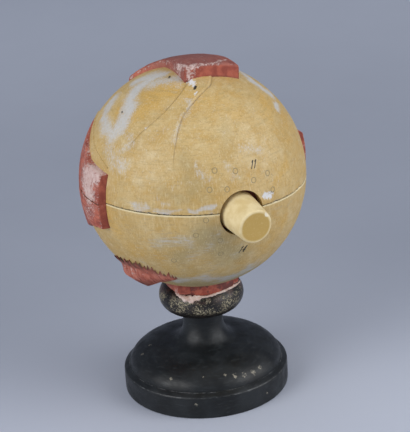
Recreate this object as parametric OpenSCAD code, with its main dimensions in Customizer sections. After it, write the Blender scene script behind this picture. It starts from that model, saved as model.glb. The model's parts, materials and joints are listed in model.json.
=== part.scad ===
// Demountable model of a left human eye on a turned stand, five times life size.
// The origin is the centre of the foot's underside, +Z is up, the cornea faces -Y and the
// temporal side is +X. The eyeball opens along its seam, and the parts inside nest in it.

/* [Stand] */
// Radius of the foot's side
foot_r = 45.5; // [40:0.5:60]
// Height of the foot's straight side
foot_h = 12.4; // [11:0.2:20]
// Width of the bevelled step round the foot's top
step_w = 3.4; // [2:0.2:5]
// Height of the bevelled step
step_h = 1.8; // [1:0.1:3]
// Height of the dome above the step
dome_h = 12.8; // [8:0.2:20]
// Radius of the dome's flat top, where the cove to the neck starts
dome_top_r = 14.9; // [14:0.1:18]
// Radius of the neck
neck_r = 10.9; // [10:0.1:13]
// Height of the neck above the dome
neck_h = 16.7; // [10:0.1:30]
// Largest radius of the collar
collar_r = 23.3; // [21:0.1:27]
// Radius of the collar's rounded rim
collar_round = 8.4; // [7:0.1:9]
// Height of the collar's rim above the neck
collar_rim_h = 10.4; // [10:0.1:13]
// Height of the collar's dished seat above the neck
seat_h = 15.7; // [14:0.1:18]
// Height of the collar's thin foot ring
collar_lip_h = 0.7; // [0.4:0.1:1.2]
// How far the collar's foot ring stands out from the neck
collar_lip_w = 1.2; // [0.6:0.1:2]
// Radius of the plaster filler on the collar
filler_r = 20; // [18:0.5:21]

/* [Stem fixings] */
// Radius of the rod through the stand
rod_r = 4; // [3:0.25:5]
// Width of the nut across its flats
nut_af = 13; // [11:0.5:15]
// Height of the nut
nut_h = 6.5; // [5:0.5:7]
// Radius of the washer
washer_r = 8; // [7.5:0.25:10]
// Thickness of the washer
washer_t = 1.6; // [1:0.2:2]
// Radius of the nut's pocket under the foot
pocket_r = 12; // [11:0.5:16]
// Depth of the nut's pocket
pocket_d = 11; // [10.6:0.2:13]
// Length of rod that stands out of the nut
rod_tail = 1.2; // [0.5:0.1:1.4]
// Radius of the threaded insert's barrel in the shell
insert_r = 6.4; // [6:0.2:8]
// Radius of the insert's flange
insert_flange_r = 10; // [9:0.5:13]
// Thickness of the insert's flange
insert_flange_t = 1.6; // [1:0.2:2]

/* [Shells] */
// Outer radius of the sclera
sclera_r = 60; // [55:1:70]
// Wall of the sclera
sclera_wall = 6; // [5.5:0.25:8]
// Wall of the choroid
choroid_wall = 3.5; // [3:0.25:5]
// Wall of the retina
retina_wall = 2; // [1.5:0.25:3]
// Wall of the hollow vitreous ball
vitreous_wall = 3; // [2:0.25:4]
// Gap between nested parts that come apart
nest_gap = 0.3; // [0.2:0.05:0.5]
// Glue line between parts that stay together
bond_gap = 0.05; // [0.02:0.01:0.1]
// Lean of the eyeball towards the nasal side, in degrees
eye_lean = 2.1; // [0:0.1:4]
// Chamfer along the shell's seam
seam_chamfer = 0.35; // [0.1:0.05:0.8]
// Space between the retina's front edge and the ciliary ring's back edge
retina_space = 0.95; // [0.5:0.05:2]

/* [Pegs] */
// Radius of the pegs in the sclera's seam
shell_peg_r = 1.5; // [1:0.1:1.9]
// Radius of the pegs in the choroid's seam
choroid_peg_r = 1; // [0.8:0.1:1.2]
// Length of every peg
peg_l = 9; // [6:0.5:12]
// Running clearance of a peg or the rod in its hole
peg_play = 0.05; // [0.02:0.01:0.1]
// Spare depth below and above a peg
peg_spare = 0.5; // [0.3:0.1:1]

/* [Front of the eye] */
// Radius of the round window through the sclera
window_r = 28.5; // [26:0.5:31]
// Width of the ledge that the cornea rests on
ledge_w = 1.5; // [1:0.1:2]
// Depth of the cornea's rebate
rebate_d = 2.5; // [2:0.1:3]
// Radius of curvature of the cornea
cornea_curve = 39; // [37:0.5:44]
// Wall of the cornea
cornea_wall = 3; // [2:0.2:3.6]
// Radius of the pupil
pupil_r = 9; // [6:0.5:14]
// Thickness of the iris
iris_t = 2; // [1.5:0.1:3]
// How far the iris bows forward at the pupil
iris_bow = 1; // [0.5:0.1:1.5]
// Radius of the lens
lens_r = 23; // [20:0.5:24]
// Radius of curvature of the lens's front
lens_front = 50; // [45:1:60]
// Radius of curvature of the lens's back
lens_back = 32; // [30:1:36]
// Thickness of the lens
lens_t = 17.3; // [16:0.1:18]
// Space between the lens and the back of the iris
lens_space = 0.7; // [0.3:0.1:1.5]
// Slope of the ciliary ring's back, as depth over radius
ciliary_slope = 0.55; // [0.45:0.01:0.65]
// Depth of the ciliary ring at the lens
ciliary_depth = 7.3; // [6:0.1:8]
// Depth of the vitreous ball's flat front behind the ciliary ring's inner edge
vitreous_step = 2; // [1:0.2:3]

/* [Optic nerve] */
// Angle of the nerve from straight back towards the nasal side, in degrees
nerve_turn = 15; // [10:0.5:20]
// Angle of the nerve below the seam, in degrees
nerve_low = 1.5; // [0:0.1:2]
// Radius of the nerve's hole in the sclera
nerve_hole_r = 12; // [11:0.1:13]
// Space round the nerve's root
nerve_space = 1.4; // [1.2:0.05:2]
// Radius of the nerve's cut end
nerve_end_r = 9; // [7:0.1:9.4]
// Length of the nerve outside the sclera
nerve_l = 14; // [10:0.5:20]
// How far the nerve hangs to one side of its hole
nerve_sink = 0.9; // [0.2:0.05:0.9]
// How far the nerve droops, in degrees
nerve_droop = 4; // [0:0.5:4]
// Direction in which the nerve hangs, in degrees from straight down towards the nasal side
nerve_hang = 15; // [0:5:45]
// Radius of the nerve's spigot, which shows inside as the optic disc
disc_r = 4.5; // [3.5:0.25:6]

/* [Muscles] */
// Height of each rectus at its cut end: lateral, superior, medial, inferior
rectus_t = [5, 7.6, 4.8, 5.4];
// Distance of each cut end behind the centre, along the nerve
rectus_cut = [18.5, 16.5, 8, 16];
// Half width of each rectus at its cut end
rectus_w = [14.5, 15.3, 16.8, 18];
// Half width of each rectus where it begins to fan out
rectus_neck_w = [17.5, 15.3, 17.5, 18.5];
// Half width of each rectus at its front edge
rectus_fan_w = [33, 28, 26, 25];
// How far each rectus lies to one side of its own plane
rectus_shift = [0.7, 4.5, 0.7, 0];
// Angle from the nerve at which each rectus begins to fan out, in degrees
rectus_neck_at = [89, 98, 95, 96];
// Angle from the nerve at which each rectus ends in front, in degrees
rectus_end_at = [118, 118, 112, 120];
// Angle from the nerve at which each rectus would run out to nothing, in degrees
rectus_fade_at = [121, 142, 120, 134];
// Growth of the ball that bounds the inferior oblique over the sclera
oblique_t = 2.4; // [2:0.1:3]
// How far that ball is shifted away from the insertion
oblique_taper = 3; // [2:0.1:3.5]
// Height of the superior oblique's tendon on the sclera
tendon_t = 0.9; // [0.6:0.1:1.5]

/* [Hidden] */
$fn = 96;

LATERAL = 0;
SUPERIOR = 1;
MEDIAL = 2;
INFERIOR = 3;
UPPER = 1;
LOWER = -1;
reach = 4 * sclera_r; // longer than anything it cuts
over = 1; // how far a cutter passes the face it opens

// Each nested radius follows from the one outside it.
sclera_in = sclera_r - sclera_wall;
choroid_r = sclera_in - nest_gap;
choroid_in = choroid_r - choroid_wall;
retina_r = choroid_in - bond_gap;
retina_in = retina_r - retina_wall;
vitreous_r = retina_in - nest_gap;

// A rectus is the slice between the sclera and a larger sphere whose centre is shifted
// back along the nerve, which leaves it thick behind and thin in front.
function rectus_shift_back(m) =
    let (cut_angle = acos(rectus_cut[m] / sclera_r))
    rectus_t[m] / (cos(cut_angle) - cos(rectus_fade_at[m]));
function rectus_sphere_r(m) = sclera_r - rectus_shift_back(m) * cos(rectus_fade_at[m]);
seat_t = sqrt(pow(rectus_sphere_r(INFERIOR), 2) - pow(rectus_shift_back(INFERIOR), 2))
    - sclera_r; // thickness of the inferior rectus over the stem

// Heights up the stand
foot_top = foot_h + step_h;
dome_top = foot_top + dome_h;
neck_top = dome_top + neck_h;
cove_r = dome_top_r - neck_r;
eye_z = neck_top + seat_h + seat_t + sclera_r;
insert_top = eye_z - choroid_r - 2 * nest_gap;
insert_bottom = eye_z - sclera_r + insert_flange_t / 2;

// Distances in front of the eyeball's centre
rebate_r = window_r + ledge_w;
cornea_r = rebate_r - peg_play;
rim_f = sqrt(pow(sclera_r, 2) - pow(rebate_r, 2));
seat_f = rim_f - rebate_d;
cornea_f = rim_f - sqrt(pow(cornea_curve, 2) - pow(cornea_r, 2));
iris_r = window_r - 2 * nest_gap;
iris_bore_r = iris_r + nest_gap;
iris_front = sqrt(pow(choroid_r, 2) - pow(iris_bore_r, 2));
iris_back = iris_front - iris_t;
lens_front_f = iris_back - lens_space;
lens_back_f = lens_front_f - lens_t;
lens_ring_r = lens_r + nest_gap;
ciliary_back = iris_back - ciliary_depth;
ciliary_tip = ciliary_back + ciliary_slope * lens_ring_r; // where its sloped back would meet the axis
ciliary_edge_r = (ciliary_slope * ciliary_tip
    + sqrt((1 + pow(ciliary_slope, 2)) * pow(retina_r, 2) - pow(ciliary_tip, 2)))
    / (1 + pow(ciliary_slope, 2)); // where that slope meets the retina's outer sphere
retina_edge = ciliary_tip - ciliary_slope * ciliary_edge_r - retina_space;
vitreous_front = ciliary_back - vitreous_step;
cavity_front = lens_back_f - nest_gap - vitreous_wall;

nerve_root_r = nerve_hole_r - nerve_space;
wall_mid = sclera_r - sclera_wall / 2;
choroid_mid = choroid_r - choroid_wall / 2;
SHELL_PEGS_AT = [-45, 62, 125, -125]; // angles from straight back towards the nasal side
CHOROID_PEGS_AT = [-35, 75, 125, -125];

// Corners on the sclera: [angle from straight back towards the nasal side, elevation].
// The superior oblique's tendon runs from under its rectus down to a fanned insertion.
TENDON = [[32, 74], [18, 67.5], [10, 65], [-5, 57.5], [-14, 49.5], [-17, 41.5], [-18.5, 23],
    [-47, 29], [-43, 37], [-36, 44.5], [-29, 52], [-21, 62], [-10, 75]];
TENDON_MID = [-22, 50];
// The inferior oblique's arched insertion, and then its edge along the inferior rectus.
OBLIQUE = [[-112, -60], [-82, -44], [-65, -38], [-57, -34.5], [-50, -34], [-42, -35],
    [-35, -37], [-29, -41], [-22, -45.5], [-25, -50], [-31, -55], [-44, -61], [-60, -66],
    [-100, -72]];
OBLIQUE_MID = [-55, -54];
OBLIQUE_BELLY = [68, -33]; // the way it thickens

module in_eye() {
    translate([0, 0, eye_z])
        rotate([0, -eye_lean, 0])
            children();
}

// +Y becomes the nerve's direction, and +X the side of muscle m.
module towards(m) {
    rotate([0, 0, nerve_turn])
        rotate([0, -90 * m, 0])
            children();
}

// +Z becomes the direction straight ahead.
module ahead() {
    rotate([90, 0, 0])
        children();
}

// +Z becomes the nerve's direction.
module along_nerve() {
    rotate([0, 0, nerve_turn])
        rotate([-90 - nerve_low, 0, 0])
            children();
}

module half_space(side) {
    translate([-reach / 2, -reach / 2, side == UPPER ? 0 : -reach])
        cube(reach);
}

module half_of(side) {
    intersection() {
        children();
        half_space(side);
    }
}

module ball_shell(outer, inner) {
    difference() {
        sphere(outer);
        sphere(inner);
    }
}

module pegs(ring_r, angles, r, length) {
    for (a = angles)
        rotate([0, 0, a])
            translate([0, ring_r, -length / 2])
                cylinder(r = r, h = length);
}

// Cuts the chamfer along the seam's outer edge.
module seam_cutter(side) {
    rotate_extrude()
        polygon([[sclera_r - seam_chamfer - over, -over * side], [sclera_r + over, -over * side],
            [sclera_r + over, (seam_chamfer + over) * side]]);
}

// ---- stand ----

module stem_bore(from, to) {
    translate([0, 0, from])
        cylinder(r = rod_r + peg_play, h = to - from);
}

module foot() {
    dome_w = foot_r - step_w - dome_top_r;
    dome = [for (a = [0:10:90])
        [dome_top_r + dome_w * cos(a), foot_top + dome_h * sin(a)]];
    cove = [for (a = [80:-10:0])
        [neck_r + cove_r - cove_r * cos(a), dome_top + cove_r - cove_r * sin(a)]];
    color("#26282b")
        difference() {
            rotate_extrude()
                polygon(concat([[0, 0], [foot_r, 0], [foot_r, foot_h]], dome, cove,
                    [[neck_r, neck_top], [0, neck_top]]));
            translate([0, 0, -over])
                cylinder(r = pocket_r, h = pocket_d + over);
            stem_bore(0, neck_top + over);
        }
}

module collar() {
    lip_r = neck_r + collar_lip_w;
    round_x = collar_r - collar_round;
    round_z = neck_top + collar_rim_h;
    steps = 12; // arcs along the rim
    // The conical underside is the line from the foot ring that just touches the rim.
    drop = [lip_r - round_x, neck_top + collar_lip_h - round_z];
    touch = atan2(drop[1], drop[0]) + acos(collar_round / norm(drop));
    rim = [for (i = [0:steps])
        let (a = touch + (90 - touch) * i / steps)
        [round_x + collar_round * cos(a), round_z + collar_round * sin(a)]];
    color("#3a2c22")
        difference() {
            rotate_extrude()
                polygon(concat([[0, neck_top], [lip_r, neck_top],
                    [lip_r, neck_top + collar_lip_h]], rim, [[0, round_z + collar_round]]));
            in_eye()
                rectus_ball(INFERIOR);
            stem_bore(neck_top - over, eye_z);
        }
}

// Plaster between the collar and the eyeball, behind the inferior rectus.
module seat_filler() {
    color("#d9bfb0")
        difference() {
            intersection() {
                translate([0, 0, neck_top])
                    cylinder(r = filler_r, h = sclera_r);
                in_eye()
                    difference() {
                        rectus_ball(INFERIOR);
                        sphere(sclera_r);
                        towards(INFERIOR)
                            translate([-reach / 2, rectus_cut[INFERIOR] + bond_gap - reach,
                                -reach / 2])
                                cube(reach);
                    }
            }
            stem_bore(neck_top, eye_z);
        }
}

module stem_rod() {
    nut_bottom = pocket_d - washer_t - nut_h;
    color("#8d8a84")
        translate([0, 0, nut_bottom - rod_tail])
            cylinder(r = rod_r, h = insert_top - nut_bottom + rod_tail);
}

module stem_washer() {
    color("#a09c92")
        difference() {
            translate([0, 0, pocket_d - washer_t])
                cylinder(r = washer_r, h = washer_t);
            stem_bore(0, pocket_d + over);
        }
}

module stem_nut() {
    color("#938f86")
        difference() {
            translate([0, 0, pocket_d - washer_t - nut_h])
                cylinder(r = nut_af / 2 / cos(30), h = nut_h, $fn = 6);
            stem_bore(0, pocket_d);
        }
}

module insert_body(play) {
    translate([0, 0, insert_bottom - play])
        cylinder(r = insert_r + play, h = insert_top - insert_bottom);
    translate([0, 0, insert_top - insert_flange_t - play])
        cylinder(r = insert_flange_r + play, h = insert_flange_t + play);
}

module shell_insert() {
    color("#b08d4a")
        difference() {
            insert_body(0);
            stem_bore(insert_bottom - over, insert_top + over);
        }
}

// ---- sclera ----

module nerve_bore(r) {
    along_nerve()
        cylinder(r = r, h = reach / 2);
}

module front_bore(r, from) {
    ahead()
        translate([0, 0, from])
            cylinder(r = r, h = reach / 2);
}

module sclera_half(side, peg_r) {
    difference() {
        half_of(side)
            ball_shell(sclera_r, sclera_in);
        seam_cutter(side);
        nerve_bore(nerve_hole_r);
        front_bore(window_r, 0);
        front_bore(rebate_r, seat_f);
        pegs(wall_mid, SHELL_PEGS_AT, peg_r, peg_l + 2 * peg_spare);
    }
}

module upper_sclera() {
    color("#c9b27f")
        in_eye()
            sclera_half(UPPER, shell_peg_r + peg_play);
}

module lower_sclera() {
    color("#c9b27f")
        difference() {
            in_eye()
                sclera_half(LOWER, shell_peg_r + bond_gap);
            insert_body(bond_gap);
            translate([0, 0, insert_top - insert_flange_t])
                cylinder(r = insert_flange_r + bond_gap, h = sclera_wall);
            stem_bore(neck_top, eye_z);
        }
}

module shell_pegs() {
    color("#9c968a")
        in_eye()
            pegs(wall_mid, SHELL_PEGS_AT, shell_peg_r, peg_l);
}

// ---- muscles ----

// The larger sphere that a rectus reaches out to.
module rectus_ball(m) {
    towards(m)
        translate([0, rectus_shift_back(m), 0])
            sphere(rectus_sphere_r(m));
}

// Outline of a rectus seen square on, a strap that fans out in front, with a margin round it.
module rectus_outline(m, margin) {
    cut_y = rectus_cut[m] + margin;
    neck_y = sclera_r * cos(rectus_neck_at[m]);
    end_y = sclera_r * cos(rectus_end_at[m]) - margin;
    across = rectus_shift[m];
    cut_w = rectus_w[m] + margin;
    neck_w = rectus_neck_w[m] + margin;
    fan_w = rectus_fan_w[m] + margin;
    polygon([[cut_y, across - cut_w], [neck_y, across - neck_w], [end_y, across - fan_w],
        [end_y, across + fan_w], [neck_y, across + neck_w], [cut_y, across + cut_w]]);
}

// Everything over that outline, on the side that rectus m lies on.
module rectus_column(m, margin) {
    towards(m)
        rotate([90, 0, 90])
            linear_extrude(reach / 2)
                rectus_outline(m, margin);
}

module rectus(m) {
    difference() {
        intersection() {
            rectus_ball(m);
            rectus_column(m, 0);
        }
        sphere(sclera_r);
    }
}

module superior_rectus() {
    color("#93503f")
        in_eye()
            rectus(SUPERIOR);
}

module inferior_rectus() {
    color("#93503f")
        difference() {
            in_eye()
                rectus(INFERIOR);
            stem_bore(neck_top, eye_z);
        }
}

module lateral_rectus_upper() {
    color("#93503f")
        in_eye()
            half_of(UPPER)
                rectus(LATERAL);
}

module lateral_rectus_lower() {
    color("#93503f")
        in_eye()
            half_of(LOWER)
                rectus(LATERAL);
}

module medial_rectus_upper() {
    color("#93503f")
        in_eye()
            half_of(UPPER)
                rectus(MEDIAL);
}

module medial_rectus_lower() {
    color("#93503f")
        in_eye()
            half_of(LOWER)
                rectus(MEDIAL);
}

function from_back(angles) = [
    -sin(angles[0]) * cos(angles[1]), cos(angles[0]) * cos(angles[1]), sin(angles[1])];

// The slice between the sclera and a larger ball inside corners, seen along the direction mid.
module patch(corners, mid) {
    ahead_of = from_back(mid);
    side = cross([0, 0, 1], ahead_of) / norm(cross([0, 0, 1], ahead_of));
    rise = cross(ahead_of, side);
    flat = [for (corner = corners)
        let (p = sclera_r * from_back(corner))
        [p * side, p * rise]];
    difference() {
        intersection() {
            children();
            rotate([0, 0, mid[0] + 180])
                rotate([90 - mid[1], 0, 0])
                    linear_extrude(reach / 2)
                        polygon(flat);
        }
        sphere(sclera_r);
    }
}

module superior_oblique() {
    color("#cdb684")
        in_eye()
            difference() {
                patch(TENDON, TENDON_MID)
                    sphere(sclera_r + tendon_t);
                rectus_column(SUPERIOR, nest_gap);
            }
}

module inferior_oblique() {
    color("#97483a")
        in_eye()
            difference() {
                patch(OBLIQUE, OBLIQUE_MID)
                    translate(oblique_taper * from_back(OBLIQUE_BELLY))
                        sphere(sclera_r + oblique_t);
                rectus_column(INFERIOR, nest_gap);
            }
}

// ---- inner ball ----

module choroid_half(side, disc_play, peg_r) {
    difference() {
        half_of(side)
            ball_shell(choroid_r, choroid_in);
        nerve_bore(disc_r + disc_play);
        front_bore(iris_bore_r, 0);
        pegs(choroid_mid, CHOROID_PEGS_AT, peg_r, peg_l + 2 * peg_spare);
    }
}

module choroid_lower() {
    color("#6e3b33")
        in_eye()
            choroid_half(LOWER, bond_gap, choroid_peg_r + bond_gap);
}

module choroid_upper() {
    color("#6e3b33")
        in_eye()
            choroid_half(UPPER, nest_gap, choroid_peg_r + peg_play);
}

module choroid_pegs() {
    color("#9c968a")
        in_eye()
            pegs(choroid_mid, CHOROID_PEGS_AT, choroid_peg_r, peg_l);
}

module retina_half(side, disc_play) {
    difference() {
        half_of(side)
            ball_shell(retina_r, retina_in);
        nerve_bore(disc_r + disc_play);
        ahead()
            translate([-reach / 2, -reach / 2, retina_edge])
                cube(reach);
    }
}

module retina_lower() {
    color("#d98f5a")
        in_eye()
            retina_half(LOWER, bond_gap);
}

module retina_upper() {
    color("#d98f5a")
        in_eye()
            retina_half(UPPER, nest_gap);
}

// The ring is a wedge between the lens, the iris and the choroid.
module ciliary_half(side) {
    shoulder_f = sqrt(pow(retina_r, 2) - pow(iris_bore_r, 2));
    tail_r = choroid_r;
    tail_f = ciliary_back - ciliary_slope * (tail_r - lens_ring_r);
    half_of(side)
        intersection() {
            sphere(retina_r);
            ahead()
                rotate_extrude()
                    polygon([[lens_ring_r, ciliary_back], [tail_r, tail_f],
                        [tail_r, shoulder_f], [iris_r, shoulder_f], [iris_r, iris_back],
                        [lens_ring_r, iris_back]]);
        }
}

module ciliary_lower() {
    color("#4a2f28")
        in_eye()
            ciliary_half(LOWER);
}

module ciliary_upper() {
    color("#4a2f28")
        in_eye()
            ciliary_half(UPPER);
}

// A tapered stub outside and a spigot through the inner ball. It hangs low in its hole.
module optic_nerve() {
    color("#d6c291")
        in_eye()
            along_nerve()
                difference() {
                    union() {
                        cylinder(r = disc_r, h = wall_mid);
                        difference() {
                            rotate([0, 0, nerve_hang])
                                translate([0, nerve_sink, wall_mid])
                                    rotate([-nerve_droop, 0, 0])
                                        translate([0, 0, -sclera_wall])
                                            cylinder(r1 = nerve_root_r, r2 = nerve_end_r,
                                                h = nerve_l + sclera_r - wall_mid + sclera_wall);
                            sphere(choroid_r + nest_gap);
                        }
                    }
                    sphere(retina_in);
                }
}

// ---- clear parts and iris ----

module vitreous() {
    cup_f = lens_back_f + lens_back;
    cup_r = lens_back + nest_gap;
    cone_r = lens_ring_r + (ciliary_back - nest_gap - vitreous_front) / ciliary_slope;
    color("#cfe3e8", 0.5)
        in_eye()
            ahead()
                difference() {
                    sphere(vitreous_r);
                    // in front of the cone that clears the ciliary ring
                    rotate_extrude()
                        polygon([[0, vitreous_front], [cone_r, vitreous_front],
                            [cone_r + sclera_r, vitreous_front - ciliary_slope * sclera_r],
                            [cone_r + sclera_r, sclera_r], [0, sclera_r]]);
                    translate([0, 0, cup_f])
                        sphere(cup_r);
                    difference() {
                        sphere(vitreous_r - vitreous_wall);
                        translate([-reach / 2, -reach / 2, cavity_front])
                            cube(reach);
                    }
                }
}

module lens() {
    color("#f1e7c4", 0.6)
        in_eye()
            ahead()
                intersection() {
                    translate([0, 0, lens_back_f + lens_back])
                        sphere(lens_back);
                    translate([0, 0, lens_front_f - lens_front])
                        sphere(lens_front);
                    cylinder(r = lens_r, h = sclera_r);
                }
}

module iris() {
    color("#4c7390")
        in_eye()
            ahead()
                rotate_extrude()
                    polygon([[pupil_r, iris_back], [iris_r, iris_back],
                        [iris_r, iris_front], [pupil_r + iris_bow, iris_front + iris_bow],
                        [pupil_r, iris_front]]);
}

module cornea() {
    color("#dfeaf0", 0.4)
        in_eye()
            ahead()
                difference() {
                    intersection() {
                        translate([0, 0, cornea_f])
                            sphere(cornea_curve);
                        translate([0, 0, seat_f])
                            cylinder(r = cornea_r, h = cornea_curve);
                    }
                    translate([0, 0, cornea_f])
                        sphere(cornea_curve - cornea_wall);
                }
}

foot();
collar();
seat_filler();
stem_rod();
stem_nut();
stem_washer();
shell_insert();
lower_sclera();
upper_sclera();
superior_rectus();
inferior_rectus();
lateral_rectus_upper();
lateral_rectus_lower();
medial_rectus_upper();
medial_rectus_lower();
superior_oblique();
inferior_oblique();
shell_pegs();
choroid_lower();
choroid_upper();
retina_lower();
retina_upper();
choroid_pegs();
ciliary_lower();
ciliary_upper();
optic_nerve();
vitreous();
lens();
iris();
cornea();
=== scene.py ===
"""The looks of a demountable eye model: worn, painted plaster on a black turned stand.

Lengths are written in millimetres and turned into metres as each mesh is made. The eye frame
has its origin at the ball's centre, +Z along the axis the shells lift on and -Y through the
cornea. A place on the ball is (angle from straight back towards the nasal side, elevation).
"""
import json
from math import cos, exp, inf, pi, radians, sin, sqrt

import bmesh
import bpy
import numpy as np
from mathutils import Matrix, Vector, noise


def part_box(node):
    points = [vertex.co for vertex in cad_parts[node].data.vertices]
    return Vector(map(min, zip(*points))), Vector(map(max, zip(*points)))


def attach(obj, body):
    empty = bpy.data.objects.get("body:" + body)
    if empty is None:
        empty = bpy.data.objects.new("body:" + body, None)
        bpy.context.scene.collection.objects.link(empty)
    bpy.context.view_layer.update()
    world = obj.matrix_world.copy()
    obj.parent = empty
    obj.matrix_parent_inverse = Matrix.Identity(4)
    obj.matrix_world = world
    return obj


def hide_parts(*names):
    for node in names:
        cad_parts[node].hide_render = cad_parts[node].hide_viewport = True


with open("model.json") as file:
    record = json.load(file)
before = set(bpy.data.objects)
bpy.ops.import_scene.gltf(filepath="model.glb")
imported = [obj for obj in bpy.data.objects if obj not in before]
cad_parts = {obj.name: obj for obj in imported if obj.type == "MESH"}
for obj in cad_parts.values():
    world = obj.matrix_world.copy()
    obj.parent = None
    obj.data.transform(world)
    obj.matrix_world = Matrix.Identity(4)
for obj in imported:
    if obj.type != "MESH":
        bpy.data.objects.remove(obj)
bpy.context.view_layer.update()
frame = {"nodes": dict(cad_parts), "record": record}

MM = 0.001
NODES = frame["nodes"]


def spin(degrees, axis):
    return Matrix.Rotation(radians(degrees), 4, axis)


# ---- driving sizes, in mm and degrees ----
SCLERA_R = 60
SCLERA_IN = 54
CHOROID_R = 53.7
RETINA_IN = 48.15
EYE_LEAN = 2.1
NERVE_TURN = 15
NERVE_LOW = 1.5
EYE_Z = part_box("upper_sclera")[1].z / MM - SCLERA_R

EYE = Matrix.Translation((0, 0, EYE_Z)) @ spin(-EYE_LEAN, "Y")
STAND = Matrix()
AHEAD = EYE @ spin(90, "X")  # +Z straight ahead
ALONG_NERVE = EYE @ spin(NERVE_TURN, "Z") @ spin(-90 - NERVE_LOW, "X")  # +Z out along the nerve


def place(angle, elevation, r=SCLERA_R):
    """A point over the ball, in the eye frame."""
    a, e = radians(angle), radians(elevation)
    return Vector((-sin(a) * cos(e), cos(a) * cos(e), sin(e))) * r


def ease(value, low, high):
    """0 below low, 1 above high, and smooth between. low may be the larger."""
    t = min(max((value - low) / (high - low), 0), 1)
    return t * t * (3 - 2 * t)


def ripple(point, scale, seed=0, stretch=(1, 1, 1)):
    """Smooth noise between about -1 and 1. scale is the size of its lumps in mm."""
    shifted = Vector((seed, 7.3 * seed, -3.1 * seed))
    return noise.noise(Vector(p / scale / s for p, s in zip(point, stretch)) + shifted)


def polar(r, angle, z=0):
    return Vector((r * cos(angle), r * sin(angle), z))


def round_turn(count):
    """The angles of points evenly round a circle."""
    return np.linspace(0, 2 * pi, count, endpoint=False)


# ---- materials ----

def linear(hex_colour):
    """A colour as written in sRGB, as Blender's linear RGBA."""
    parts = [int(hex_colour[i:i + 2], 16) / 255 for i in (1, 3, 5)]
    return tuple(c / 12.92 if c <= 0.04045 else ((c + 0.055) / 1.055) ** 2.4 for c in parts) + (1,)


class Nodes:
    """Adds nodes to a tree. Values may be numbers, hex colours or node sockets."""

    def __init__(self, tree):
        self.tree = tree

    def feed(self, socket, value):
        if isinstance(value, bpy.types.NodeSocket):
            self.tree.links.new(value, socket)
        else:
            socket.default_value = linear(value) if isinstance(value, str) else value

    def node(self, kind, inputs=(), **settings):
        made = self.tree.nodes.new("ShaderNode" + kind)
        for key, value in settings.items():
            setattr(made, key, value)
        for key, value in dict(inputs).items():
            self.feed(made.inputs[key], value)
        return made

    def math(self, operation, a, b=0.0):
        return self.node("Math", {0: a, 1: b}, operation=operation).outputs[0]

    def mix(self, factor, a, b):
        return self.node("Mix", data_type="RGBA", inputs={0: factor, 6: a, 7: b}).outputs[2]


PAINTS = {}  # each material under its name


class Paint(Nodes):
    """Builds one material."""

    def __init__(self, name):
        self.material = PAINTS[name] = bpy.data.materials.new(name)
        self.material.use_nodes = True
        super().__init__(self.material.node_tree)
        self.shader = self.tree.nodes["Principled BSDF"]
        self.coordinates = self.node("TexCoord").outputs["Object"]

    def scaled(self, stretch=(1, 1, 1)):
        """Coordinates in mm, divided by stretch."""
        inputs = {0: self.coordinates, 1: [1 / MM / s for s in stretch]}
        return self.node("VectorMath", inputs, operation="MULTIPLY").outputs[0]

    def noise(self, size, detail=3, stretch=(1, 1, 1), rough=0.55, warp=0):
        """Noise whose lumps are about size mm, from 0 to 1."""
        inputs = {"Vector": self.scaled(stretch), "Scale": 1 / size, "Detail": detail,
                  "Roughness": rough, "Distortion": warp}
        return self.node("TexNoise", inputs).outputs["Fac"]

    def times(self, a, b):
        return self.math("MULTIPLY", a, b)

    def plus(self, first, *others):
        for other in others:
            first = self.math("ADD", first, other)
        return first

    def step(self, value, low, high, top=1.0, base=0.0):
        """Maps low..high smoothly onto base..top, and holds there."""
        inputs = {"Value": value, "From Min": low, "From Max": high, "To Min": base, "To Max": top}
        return self.node("MapRange", inputs, interpolation_type="SMOOTHSTEP").outputs["Result"]

    def coats(self, colour, *coats):
        """The colour under coats of (how much each one covers, its colour)."""
        for cover, coat in coats:
            colour = self.mix(cover, colour, coat)
        return colour

    def value(self, name):
        """A number stored on the mesh's points."""
        return self.node("Attribute", attribute_name=name).outputs["Fac"]

    def ragged(self, mask, grain, low, high, share=0.9, top=1.0):
        """A mask with an edge broken up by the noise called grain."""
        return self.step(self.plus(mask, self.times(self.plus(grain, -0.5), share)), low, high, top)

    def near(self, spots):
        """1 at any of several points of the row frame, falling to 0 at each one's radius, in mm."""
        largest = 0.0
        for point, radius in spots:
            inputs = {0: self.scaled(), 1: point}
            distance = self.node("VectorMath", inputs, operation="DISTANCE").outputs["Value"]
            largest = self.math("MAXIMUM", largest, self.step(distance, radius, radius * 0.2))
        return largest

    def along(self, axis):
        """The coordinate along X, Y or Z in mm. Along Z it is the height over the table."""
        return self.node("SeparateXYZ", {0: self.scaled()}).outputs[axis]

    def bump(self, height, depth_mm):
        inputs = {"Height": height, "Strength": 1.0, "Distance": depth_mm * MM}
        self.feed(self.shader.inputs["Normal"], self.node("Bump", inputs).outputs["Normal"])

    def finish(self, colour, sheen, smooth, rough, low=0.3, high=0.7, **sockets):
        """Roughness runs from smooth to rough where the noise called sheen goes from low to high."""
        self.feed(self.shader.inputs["Base Color"], colour)
        self.feed(self.shader.inputs["Roughness"], self.step(sheen, low, high, rough, smooth))
        for key, value in sockets.items():
            self.feed(self.shader.inputs[key.replace("_", " ")], value)


SPECK_SPACING = 1.7  # of the dark specks on the sclera


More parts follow.
